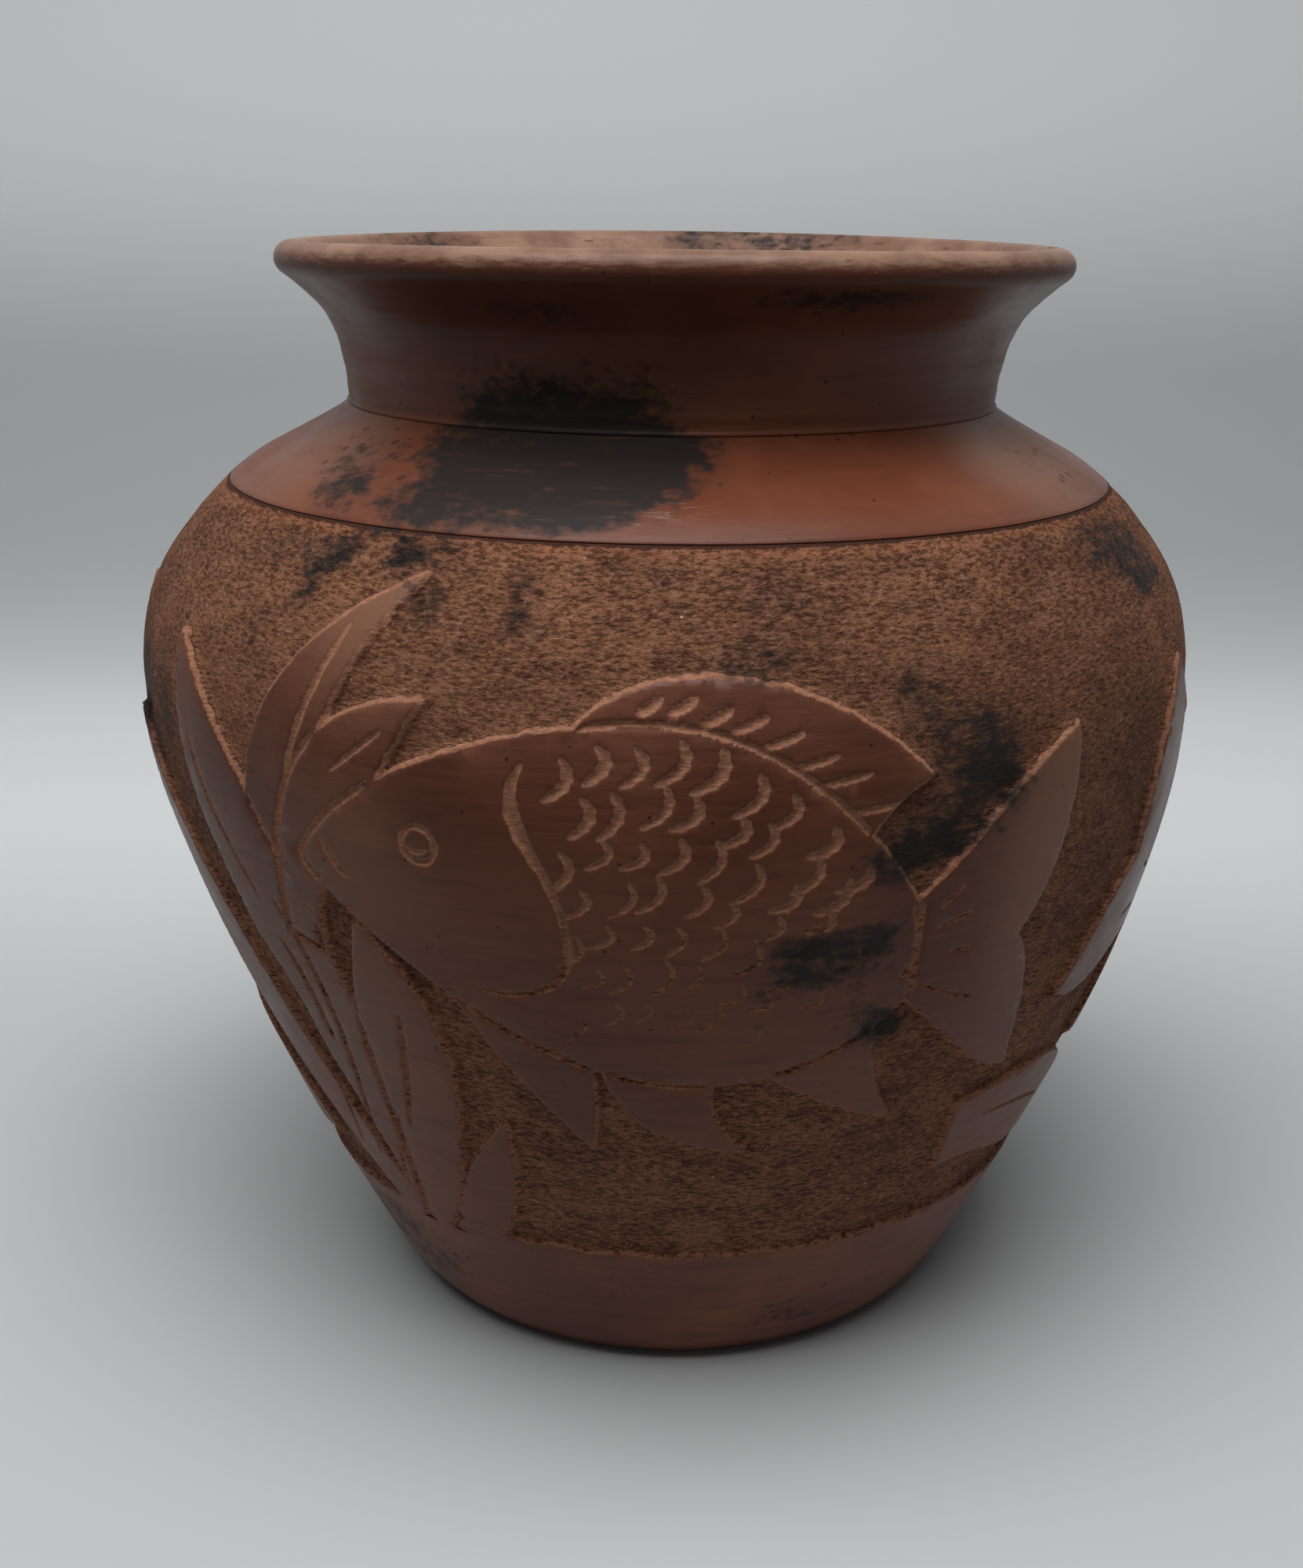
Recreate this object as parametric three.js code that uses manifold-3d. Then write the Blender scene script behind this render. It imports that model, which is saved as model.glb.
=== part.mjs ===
// Terracotta vase: a hand-built burnished pot, with a fish among reeds carved in low relief.
// Millimetres, Z up. The sole rests on Z = 0, the axis of the pot is Z and the front faces -Y.
import * as THREE from 'three';
import { mergeVertices } from 'three/addons/utils/BufferGeometryUtils.js';
import Module from 'manifold-3d';

const wasm = await Module();
wasm.setup();

// Height of the vase, and the heights of the lines between its members as shares of it.
const vaseHeight = 205;
const footLineShare = 0.1454;
const bellyLineShare = 0.6122;
const shoulderLineShare = 0.7902;
const neckSeamShare = 0.8561;

// Radii of the outer skin at the sole, at each line round the pot and at the lip.
const soleRadius = 53.3;
const footLineRadius = 71.4;
const bellyRadius = 101.2;
const shoulderLineRadius = 83.4;
const neckRadius = 61.4;
const rimRadius = 74.8;

// The clay itself: wall, floor, and the cove where they meet, with the angle it turns through.
const wallThickness = 6.2;
const floorThickness = 9;
const coveRadius = 12;
const coveAngle = 70;

// How far the ground is scraped back round the figures, and the height of the carved wall in
// the units that the figures are drawn in.
const carvingDepth = 1.4;
const drawnHeight = 132.2;

// The power by which a reed blade's swell moves from the middle of the blade towards its tip.
const swellShift = 1.5;

// Each stretch of the skin leaves its lower ring and arrives at its upper one at an angle from
// upright, in degrees, and holds each angle for a share of its chord.
const footSweep = { leaveAngle: 50, leaveShare: 0.24, arriveAngle: 27, arriveShare: 0.7 };
const lowerWallSweep = { leaveAngle: 26.5, leaveShare: 0.15, arriveAngle: 0, arriveShare: 0.33 };
const upperWallSweep = { leaveAngle: 0, leaveShare: 0.54, arriveAngle: -50, arriveShare: 0.23 };
const shoulderSweep = { leaveAngle: -50, leaveShare: 0.37, arriveAngle: -58.7, arriveShare: 0.73 };
const neckSweep = { leaveAngle: 8, leaveShare: 0.57, arriveAngle: 52, arriveShare: 0.4 };

// Facets round the pot, up each stretch of its outside and up each stretch of its cavity.
const aroundFacets = 60;
const skinFacets = { sole: 3, foot: 4, lowerWall: 8, upperWall: 5, shoulder: 5, neck: 7, lip: 9 };
const cavityFacets = {
  cove: 4, foot: 2, lowerWall: 7, upperWall: 5, shoulder: 4, neck: 5, lip: 2,
};

// Fineness of the skin's curve and of the figures, and how far out the wedges that cut the
// figures reach, as a share of the belly's radius.
const skinSamples = 80;
const bladeSteps = 7;
const curveSteps = 5;
const wedgeSteps = 6;
const wedgeReach = 1.5;

// Heights of the lines between the members.
const footLine = vaseHeight * footLineShare;
const bellyLine = vaseHeight * bellyLineShare;
const shoulderLine = vaseHeight * shoulderLineShare;
const neckSeam = vaseHeight * neckSeamShare;

// The lip is the wall's own thickness rounded over, through half a turn.
const halfTurn = 180;
const lipRadius = wallThickness / 2;
const lipCentre = new THREE.Vector2(rimRadius - lipRadius, vaseHeight - lipRadius);
const lipFoot = lipPoint(-neckSweep.arriveAngle);
const rimJoint = lipFoot.y;

const skin = [
  ...sweep(soleRadius, 0, footSweep, footLineRadius, footLine),
  ...sweep(footLineRadius, footLine, lowerWallSweep, bellyRadius, bellyLine),
  ...sweep(bellyRadius, bellyLine, upperWallSweep, shoulderLineRadius, shoulderLine),
  ...sweep(shoulderLineRadius, shoulderLine, shoulderSweep, neckRadius, neckSeam),
  ...sweep(neckRadius, neckSeam, neckSweep, lipFoot.x, lipFoot.y),
];

function lipPoint(degrees) {
  const angle = THREE.MathUtils.degToRad(degrees);
  const reach = new THREE.Vector2(Math.cos(angle), Math.sin(angle));
  return reach.multiplyScalar(lipRadius).add(lipCentre);
}

function leaning(degrees) {
  const angle = THREE.MathUtils.degToRad(degrees);
  return new THREE.Vector2(Math.sin(angle), Math.cos(angle));
}

function sweep(lowRadius, lowHeight, shape, highRadius, highHeight) {
  const low = new THREE.Vector2(lowRadius, lowHeight);
  const high = new THREE.Vector2(highRadius, highHeight);
  const chord = low.distanceTo(high);
  const lowHandle = low.clone().addScaledVector(leaning(shape.leaveAngle), chord * shape.leaveShare);
  const highHandle = high.clone().addScaledVector(leaning(shape.arriveAngle), -chord * shape.arriveShare);
  return new THREE.CubicBezierCurve(low, lowHandle, highHandle, high).getPoints(skinSamples);
}

function skinRadius(height) {
  for (let i = 1; i < skin.length; i += 1) {
    const below = skin[i - 1];
    const above = skin[i];
    if (height <= above.y && above.y > below.y) {
      const share = Math.max(0, (height - below.y) / (above.y - below.y));
      return THREE.MathUtils.lerp(below.x, above.x, share);
    }
  }
  return skin.at(-1).x;
}

// The cavity keeps the wall's thickness square to the skin, as a ball of that size rolled inside
// the skin would leave it.
function cavityRadius(height) {
  let radius = Infinity;
  for (const point of skin) {
    const offset = height - point.y;
    if (Math.abs(offset) < wallThickness) {
      radius = Math.min(radius, point.x - Math.sqrt(wallThickness ** 2 - offset ** 2));
    }
  }
  return radius;
}

function levels(from, to, steps) {
  const share = (_, i) => THREE.MathUtils.lerp(from, to, i / steps);
  return Array.from({ length: steps + 1 }, share);
}

function outside(heights, inset = 0) {
  return heights.map((height) => new THREE.Vector2(skinRadius(height) - inset, height));
}

function inside(heights) {
  return heights.map((height) => new THREE.Vector2(cavityRadius(height), height));
}

function turned(profile) {
  return new THREE.LatheGeometry(profile, aroundFacets).rotateX(Math.PI / 2);
}

function turnedRing(profile) {
  return turned([...profile, profile[0]]);
}

function solidOf(geometry) {
  const bare = geometry.clone();
  bare.deleteAttribute('normal');
  bare.deleteAttribute('uv');
  const joined = mergeVertices(bare);
  const vertProperties = new Float32Array(joined.attributes.position.array);
  const triVerts = new Uint32Array(joined.index.array);
  return new wasm.Manifold(new wasm.Mesh({ numProp: 3, vertProperties, triVerts }));
}

function geometryOf(solid) {
  const mesh = solid.getMesh();
  const geometry = new THREE.BufferGeometry();
  geometry.setAttribute('position', new THREE.BufferAttribute(mesh.vertProperties, 3));
  geometry.setIndex(new THREE.BufferAttribute(mesh.triVerts, 1));
  geometry.computeVertexNormals();
  return geometry;
}

function joinAll(solids) {
  return solids.reduce((whole, next) => whole.add(next));
}

// Floor slab, with the turned-up edge of the sole.
function baseDisc() {
  const edge = outside(levels(0, floorThickness, skinFacets.sole));
  const axisBottom = new THREE.Vector2(0, 0);
  const axisTop = new THREE.Vector2(0, floorThickness);
  return turned([axisBottom, ...edge, axisTop]);
}

// Burnished foot band, whose inner side runs out over the floor in a cove.
function footWall() {
  const cove = Math.min(coveRadius, footLine - floorThickness);
  const coveTop = floorThickness + cove;
  const coveCentre = cavityRadius(coveTop) - cove;
  const arc = levels(0, coveAngle, cavityFacets.cove).map((degrees) => {
    const angle = THREE.MathUtils.degToRad(degrees);
    return new THREE.Vector2(coveCentre + cove * Math.cos(angle), coveTop - cove * Math.sin(angle));
  });
  const drop = arc.at(-1).y - floorThickness;
  const toe = new THREE.Vector2(
    arc.at(-1).x - drop * Math.tan(THREE.MathUtils.degToRad(coveAngle)),
    floorThickness,
  );
  const outerSide = outside(levels(floorThickness, footLine, skinFacets.foot));
  const innerSide = inside(levels(footLine, coveTop, cavityFacets.foot)).slice(0, -1);
  return turnedRing([...outerSide, ...innerSide, ...arc, toe]);
}

// Outlines of the figures on the carved wall are lists of points, in units that the height of
// the wall sets. X runs round the pot at the belly and Y runs up from the foot line. A fish is
// drawn about its own middle, facing towards -X.
function outlineOf(start, ...curves) {
  const shape = new THREE.Shape();
  shape.moveTo(...start);
  curves.forEach((curve) => {
    if (curve.length === 6) {
      shape.bezierCurveTo(...curve);
    } else {
      shape.lineTo(...curve);
    }
  });
  return shape.extractPoints(curveSteps).shape;
}

function fish() {
  const body = outlineOf(
    [-64, 5.5],
    [-53, 20, -28, 31.5, -3, 31.5],
    [17, 31.5, 31, 16, 42, -1],
    [42, -17.5],
    [33, -27, 19, -32.5, 3, -32.5],
    [-19, -32.5, -46, -15, -64, 3],
  );
  const tail = outlineOf(
    [38, -2],
    [50, 5, 58, 19, 72.5, 25.5],
    [74, 15, 72, -1, 64.5, -10.5],
    [72, -19, 70, -29, 73.5, -39.5],
    [60, -39, 54, -27, 38, -16],
  );
  const dorsalFin = outlineOf(
    [-17, 27],
    [-13, 34, -5, 38, 6, 38],
    [18, 38, 31, 33, 42, 21.5],
    [34, 18, 30, 11, 30, 5],
  );
  const analFin = outlineOf([12, -27], [24, -37, 34, -41, 44, -44], [37, -36, 35, -26, 36, -17]);
  const middleFin = outlineOf(
    [-14, -22],
    [-14, -38, -6, -46, 15.5, -48],
    [6, -44, 4, -34, 8, -26],
  );
  const frontFin = outlineOf(
    [-40, -15],
    [-34, -28, -26, -38, -17, -47],
    [-14, -38, -17, -30, -12, -22],
  );
  return [body, tail, dorsalFin, analFin, middleFin, frontFin];
}

// A reed blade follows a bent midrib. Its half width tapers from the root, swells by as much as
// the last size on the way and runs out to a point.
function blade(root, bend, tip, rootHalf, swell) {
  const midrib = new THREE.QuadraticBezierCurve(
    new THREE.Vector2(...root),
    new THREE.Vector2(...bend),
    new THREE.Vector2(...tip),
  );
  const edge = (side) => levels(0, 1, bladeSteps).slice(0, -1).map((t) => {
    const tangent = midrib.getTangent(t);
    const half = rootHalf * (1 - t) + swell * Math.sin(Math.PI * t ** swellShift);
    const out = new THREE.Vector2(-tangent.y, tangent.x).multiplyScalar(side * half);
    return midrib.getPoint(t).add(out);
  });
  return [...edge(1), new THREE.Vector2(...tip), ...edge(-1).reverse()];
}

function reeds() {
  return [
    blade([-58, -3], [-90, 95], [-44, 127], 5, 5),
    blade([-63, -3], [-70, 66], [-98, 113], 6, 8.5),
    blade([-70, 64], [-63, 96], [-39, 110], 4, 5),
    blade([-66, -3], [-48, 40], [-56, 71], 6, 7.5),
    blade([-70, -3], [-97, 38], [-122, 95], 5, 6),
    blade([-57, -3], [-44, 10], [-35, 33], 6, 3),
    blade([64, 23], [92, 26], [124, 12], 8, 7),
  ];
}

// The frieze: where each group of figures stands round the pot, how far above the foot line, how
// it is tilted in degrees, and whether it is mirrored.
function frieze() {
  return [
    { outlines: fish(), across: 0, rise: 77, tilt: 0, facing: 1 },
    { outlines: reeds(), across: 0, rise: 0, tilt: 0, facing: 1 },
    { outlines: fish(), across: 167, rise: 53, tilt: -25, facing: -1 },
    { outlines: fish(), across: -224, rise: 80, tilt: 6, facing: 1 },
    { outlines: reeds(), across: -224, rise: 0, tilt: 0, facing: 1 },
  ];
}

function placed(outline, group) {
  const middle = new THREE.Vector2();
  const tilt = THREE.MathUtils.degToRad(group.tilt);
  return outline.map((point) => {
    const turnedPoint = new THREE.Vector2(point.x * group.facing, point.y).rotateAround(middle, tilt);
    const onWall = turnedPoint.add(new THREE.Vector2(group.across, group.rise));
    return onWall.multiplyScalar((shoulderLine - footLine) / drawnHeight);
  });
}

// A figure is cut from the skin by a wedge that runs out through the wall all round its outline.
function wedge(outline) {
  const innerEnd = Math.min(footLineRadius, shoulderLineRadius) - 2 * wallThickness;
  const outerEnd = wedgeReach * bellyRadius;
  const layers = { depth: 1, steps: wedgeSteps, bevelEnabled: false };
  const cutter = new THREE.ExtrudeGeometry(new THREE.Shape(outline), layers);
  const position = cutter.attributes.position;
  for (let i = 0; i < position.count; i += 1) {
    const angle = position.getX(i) / bellyRadius - Math.PI / 2;
    const radius = THREE.MathUtils.lerp(innerEnd, outerEnd, position.getZ(i));
    const height = footLine + position.getY(i);
    position.setXYZ(i, radius * Math.cos(angle), radius * Math.sin(angle), height);
  }
  return solidOf(cutter);
}

const figureWedges = joinAll(frieze().flatMap((group) => {
  return group.outlines.map((outline) => wedge(placed(outline, group)));
}));

// Carved wall: the ground is scraped back from the skin and the figures stay at full height.
function carvedWall(low, high, outerFacets, innerFacets) {
  const rise = levels(low, high, outerFacets);
  const ground = turnedRing([
    ...outside(rise, carvingDepth),
    ...inside(levels(high, low, innerFacets)),
  ]);
  const figureRoot = wallThickness / 2;
  const skinBand = turnedRing([...outside(rise), ...outside(rise.toReversed(), figureRoot)]);
  return geometryOf(solidOf(ground).add(solidOf(skinBand).intersect(figureWedges)));
}

// Lower course of the wall, from the foot line out to the widest part of the belly.
function lowerWall() {
  return carvedWall(footLine, bellyLine, skinFacets.lowerWall, cavityFacets.lowerWall);
}

// Upper course, set on the lower one at the belly and closing in to the groove.
function upperWall() {
  return carvedWall(bellyLine, shoulderLine, skinFacets.upperWall, cavityFacets.upperWall);
}

// Shoulder ring, from the groove above the carving to the seam of the neck.
function shoulder() {
  return turnedRing([
    ...outside(levels(shoulderLine, neckSeam, skinFacets.shoulder)),
    ...inside(levels(neckSeam, shoulderLine, cavityFacets.shoulder)),
  ]);
}

// Flared collar between the seam and the rolled lip.
function neckCollar() {
  return turnedRing([
    ...outside(levels(neckSeam, rimJoint, skinFacets.neck)),
    ...inside(levels(rimJoint, neckSeam, cavityFacets.neck)),
  ]);
}

// Rounded lip, down to where it runs into the flare of the collar on both sides.
function rimRoll() {
  const overAngles = levels(-neckSweep.arriveAngle, halfTurn - neckSweep.arriveAngle, skinFacets.lip);
  const over = overAngles.map(lipPoint);
  const down = inside(levels(over.at(-1).y, rimJoint, cavityFacets.lip)).slice(1);
  return turnedRing([...over, ...down]);
}

const burnished = { color: 0x7a4a37, roughness: 0.45, metalness: 0 };
const scraped = { color: 0x93654c, roughness: 0.9, metalness: 0 };
const worn = { color: 0xa0725a, roughness: 0.6, metalness: 0 };

const members = [
  ['base_disc', baseDisc(), burnished],
  ['foot_wall', footWall(), burnished],
  ['lower_wall', lowerWall(), scraped],
  ['upper_wall', upperWall(), scraped],
  ['shoulder', shoulder(), burnished],
  ['neck_collar', neckCollar(), burnished],
  ['rim_roll', rimRoll(), worn],
];

const vase = new THREE.Group();
members.forEach(([name, geometry, finish]) => {
  const member = new THREE.Mesh(geometry, new THREE.MeshStandardMaterial(finish));
  member.name = name;
  vase.add(member);
});

export default vase;
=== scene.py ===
import math

import bpy
import numpy as np
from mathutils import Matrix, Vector, noise as clouds


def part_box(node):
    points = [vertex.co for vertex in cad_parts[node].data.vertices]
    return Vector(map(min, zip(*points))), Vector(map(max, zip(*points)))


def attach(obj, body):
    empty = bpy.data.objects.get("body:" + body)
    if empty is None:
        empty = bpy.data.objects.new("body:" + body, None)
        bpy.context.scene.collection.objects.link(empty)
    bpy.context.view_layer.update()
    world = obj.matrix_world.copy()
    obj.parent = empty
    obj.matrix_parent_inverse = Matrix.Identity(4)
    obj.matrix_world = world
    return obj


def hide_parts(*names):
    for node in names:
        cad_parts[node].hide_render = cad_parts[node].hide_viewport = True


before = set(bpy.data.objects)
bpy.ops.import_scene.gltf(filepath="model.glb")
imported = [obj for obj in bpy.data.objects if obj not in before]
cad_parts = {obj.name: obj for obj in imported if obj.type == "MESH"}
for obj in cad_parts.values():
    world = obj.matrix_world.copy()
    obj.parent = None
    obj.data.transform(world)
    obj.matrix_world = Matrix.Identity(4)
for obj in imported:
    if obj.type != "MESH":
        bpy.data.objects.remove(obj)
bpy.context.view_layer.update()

# The sole is a round slab of coarse red clay, beaten flat, with the wall luted on top of it. Its
# edge turns up into the wall, is rubbed round where the pot stands, and is burnished like the foot.
columns = 216
sole_radius = 53.3
foot_line_radius = 71.4
foot_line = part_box("foot_wall")[1].z * 1000
floor_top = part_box("base_disc")[1].z * 1000


def swept(low, high, leave, leave_share, arrive, arrive_share):
    """A line of (radius, height) that leaves low and arrives at high at angles from upright."""
    low, high = np.array(low), np.array(high)
    chord = np.linalg.norm(high - low)
    leave, arrive = math.radians(leave), math.radians(arrive)
    first = low + np.array([math.sin(leave), math.cos(leave)]) * chord * leave_share
    second = high - np.array([math.sin(arrive), math.cos(arrive)]) * chord * arrive_share
    t = np.linspace(0, 1, 201)[:, None]
    return (1 - t) ** 3 * low + 3 * (1 - t) ** 2 * t * first + 3 * (1 - t) * t**2 * second + t**3 * high


def spaced(line, gap):
    """The same line with its points about gap millimetres apart."""
    run = np.concatenate([[0], np.cumsum(np.linalg.norm(np.diff(line, axis=0), axis=1))])
    marks = np.linspace(0, run[-1], max(2, round(run[-1] / gap) + 1))
    return np.column_stack([np.interp(marks, run, line[:, 0]), np.interp(marks, run, line[:, 1])])


def thrown(name, section):
    """A piece turned round the axis from its section, with its flat ends kept sharp."""
    bpy.ops.object.select_all(action="DESELECT")
    bpy.ops.mesh.primitive_circle_add(vertices=len(section))
    piece = bpy.context.object
    piece.name = piece.data.name = name
    for vertex, (radius, height) in zip(piece.data.vertices, section):
        vertex.co = (radius / 1000, 0, height / 1000)
    bpy.ops.object.mode_set(mode="EDIT")
    bpy.ops.mesh.select_all(action="SELECT")
    bpy.ops.mesh.spin(steps=columns, angle=math.tau, center=(0, 0, 0), axis=(0, 0, 1))
    bpy.ops.mesh.select_all(action="SELECT")
    bpy.ops.mesh.remove_doubles(threshold=2e-6)
    bpy.ops.mesh.delete_loose(use_verts=True, use_edges=True, use_faces=False)
    bpy.ops.mesh.select_all(action="SELECT")
    bpy.ops.mesh.normals_make_consistent(inside=False)
    bpy.ops.mesh.select_all(action="DESELECT")
    bpy.ops.mesh.select_mode(type="EDGE")
    bpy.ops.object.mode_set(mode="OBJECT")
    heights = np.array([vertex.co.z for vertex in piece.data.vertices])
    for end in (heights.min(), heights.max()):
        flat = np.abs(heights - end) < 1e-6
        for edge in piece.data.edges:
            edge.select = edge.select or all(flat[list(edge.vertices)])
    bpy.ops.object.mode_set(mode="EDIT")
    bpy.ops.mesh.mark_sharp()
    bpy.ops.object.mode_set(mode="OBJECT")
    bpy.ops.object.shade_smooth()
    return piece


def points_of(piece):
    """The places of a piece's vertices, in millimetres."""
    places = np.empty(len(piece.data.vertices) * 3, np.float32)
    piece.data.vertices.foreach_get("co", places)
    return places.reshape(-1, 3).astype(float) * 1000


def place_points(piece, points):
    """Moves a piece's vertices to these places, in millimetres."""
    piece.data.vertices.foreach_set("co", (points / 1000).astype(np.float32).ravel())
    piece.data.update()


def keep(piece, name, values):
    """Stores one number for each vertex, for the materials to read."""
    store = piece.data.attributes.new(name, "FLOAT", "POINT")
    store.data.foreach_set("value", values.astype(np.float32))


def eased(values, low, high):
    """Rises smoothly from 0 at low to 1 at high."""
    share = np.clip((values - low) / (high - low), 0, 1)
    return share**2 * (3 - 2 * share)


def lumps(points, size):
    """Random unevenness between about -1 and 1, with lumps of this size in millimetres."""
    return np.array([clouds.noise(Vector(point)) for point in points / size])


def hand_built(piece):
    """The lean and swells of a pot that is built by hand and not on a wheel."""
    points = points_of(piece)
    turn = np.arctan2(points[:, 1], points[:, 0])
    height = points[:, 2].copy()
    bulge = np.exp(-(((height - 138) / 25) ** 2)) - 0.7 * eased(height, 168, 182)
    three_sided = 0.22 * np.sin(3 * turn - 1.1 + height / 50) * eased(height, 0, 60)
    dents = 0.16 * lumps(points, 16)
    swell = bulge + three_sided + dents
    tipped = eased(height, 120, 165)
    rim_wave = 0.35 * np.cos(2 * turn) * eased(height, 180, 205)
    points[:, 2] -= 0.011 * points[:, 0] * tipped + rim_wave
    lean = 2.1 * np.exp(-(((height - 131) / 42) ** 2))
    points[:, 0] += swell * np.cos(turn) - lean
    points[:, 1] += swell * np.sin(turn)
    place_points(piece, points)


def marked(piece, marks, name="smoke"):
    """Stores how strongly each place is marked, from marks of smoke from the open fire, of wear and of
    painted sheen, given as the (degrees round from the front, height, half width, half height, strength) of
    each mark."""
    points = points_of(piece)
    radius = np.maximum(np.hypot(points[:, 0], points[:, 1]), 1)
    turn = np.arctan2(points[:, 0], -points[:, 1])
    clear = np.ones(len(points))
    for degrees, height, half_width, half_height, strength in marks:
        off = (turn - math.radians(degrees) + math.pi) % math.tau - math.pi
        away = (off * radius / half_width) ** 2 + ((points[:, 2] - height) / half_height) ** 2
        clear *= 1 - strength * np.exp(-(away**1.5) * 0.7)
    keep(piece, name, 1 - clear)


def joined(tree, kind, settings, inputs):
    """A shader node with its settings, and its inputs set to values or joined to other nodes."""
    made = tree.nodes.new("ShaderNode" + kind)
    for key, value in settings.items():
        setattr(made, key, value)
    for key, value in inputs.items():
        if isinstance(value, bpy.types.NodeSocket):
            tree.links.new(value, made.inputs[key])
        else:
            made.inputs[key].default_value = value
    return made


def noise(tree, place, scale, detail=3, roughness=0.5):
    """A cloudy pattern on the clay, with about scale clouds in a metre."""
    inputs = {"Vector": place, "Scale": scale, "Detail": detail, "Roughness": roughness}
    return joined(tree, "TexNoise", {}, inputs).outputs["Fac"]


def counted(tree, operation, first, second=0.0, third=0.0):
    """One sum of values in a material."""
    return joined(tree, "Math", {"operation": operation}, {0: first, 1: second, 2: third}).outputs[0]


def ramped(tree, value, low, high, to_low=0.0, to_high=1.0):
    """Goes smoothly from to_low, where the value is low, to to_high, where it is high."""
    inputs = {"Value": value, "From Min": low, "From Max": high, "To Min": to_low, "To Max": to_high}
    return joined(tree, "MapRange", {"interpolation_type": "SMOOTHSTEP"}, inputs).outputs["Result"]


def mixed(tree, share, first, second):
    """The first colour, with this share of it replaced by the second."""
    inputs = {0: share, 6: first, 7: second}
    return joined(tree, "Mix", {"data_type": "RGBA"}, inputs).outputs[2]


def kept(tree, name):
    """The number that keep() or marked() stored on the piece."""
    return joined(tree, "Attribute", {"attribute_name": name}, {}).outputs["Fac"]


def grit(tree, place, scale, size, share):
    """Grains of crushed stone that show in the clay, as a mask."""
    cells = joined(tree, "TexVoronoi", {}, {"Vector": place, "Scale": scale})
    near = counted(tree, "LESS_THAN", cells.outputs["Distance"], size)
    chosen = joined(tree, "SeparateColor", {}, {0: cells.outputs["Color"]}).outputs[0]
    return counted(tree, "MULTIPLY", near, counted(tree, "LESS_THAN", chosen, share))


def burnished_skin(tree, place):
    """Colour, roughness and height of clay rubbed with a stone until it shines."""
    level_place = joined(tree, "Mapping", {}, {"Vector": place, "Scale": (1, 1, 9)}).outputs[0]
    broad = noise(tree, place, 16, 2)
    patchy = noise(tree, place, 60, 4, 0.6)
    strokes = noise(tree, level_place, 60, 5, 0.65)
    dull, red = (0.138, 0.048, 0.028, 1), (0.2, 0.07, 0.04, 1)
    colour = mixed(tree, ramped(tree, broad, 0.38, 0.64), dull, red)
    colour = mixed(tree, ramped(tree, patchy, 0.45, 0.75, 0, 0.5), colour, (0.27, 0.105, 0.057, 1))
    colour = mixed(tree, ramped(tree, strokes, 0.3, 0.52, 0.45, 0), colour, (0.085, 0.028, 0.018, 1))
    colour = mixed(tree, ramped(tree, strokes, 0.56, 0.75, 0, 0.3), colour, (0.3, 0.12, 0.07, 1))
    up = joined(tree, "SeparateXYZ", {}, {0: place}).outputs[2]
    # Painted shade: below the shoulder the clay is mixed a little towards near black, and from under the rim
    # up it is mixed more strongly; at the very bottom only half as much.
    shade_below_shoulder = ramped(tree, up, 0.158, 0.166, 0.3, 0)
    shade_under_rim = ramped(tree, up, 0.186, 0.197, 0, 0.55)
    painted_shade = counted(tree, "MAXIMUM", shade_below_shoulder, shade_under_rim)
    painted_shade = counted(tree, "MULTIPLY", painted_shade, ramped(tree, up, 0.012, 0.04, 0.5, 1))
    colour = mixed(tree, painted_shade, colour, (0.03, 0.008, 0.004, 1))
    on_shoulder = ramped(tree, up, 0.161, 0.166, 0, 0.6)
    bright = counted(tree, "MULTIPLY", on_shoulder, ramped(tree, up, 0.176, 0.182, 1, 0))
    colour = mixed(tree, bright, colour, (0.15, 0.037, 0.013, 1))
    # Pale marks: wear on the carved wall, and painted sheen on the two sides of the shoulder, round the neck
    # and on the upper reed tips.
    colour = mixed(tree, kept(tree, "wear_and_sheen"), colour, (0.25, 0.12, 0.073, 1))
    pores = grit(tree, place, 420, 0.13, 0.12)
    colour = mixed(tree, counted(tree, "MULTIPLY", pores, 0.8), colour, (0.03, 0.012, 0.008, 1))
    scuffs = ramped(tree, noise(tree, level_place, 210, 4, 0.7), 0.53, 0.62, 0, 0.6)
    scuffs = counted(tree, "MULTIPLY", scuffs, kept(tree, "scuffed"))
    colour = mixed(tree, scuffs, colour, (0.36, 0.25, 0.2, 1))
    roughness = ramped(tree, patchy, 0.3, 0.7, 0.3, 0.44)
    height = counted(tree, "MULTIPLY_ADD", strokes, 0.5, counted(tree, "MULTIPLY", patchy, 0.6))
    height = counted(tree, "SUBTRACT", height, pores)
    return colour, roughness, height


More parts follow.
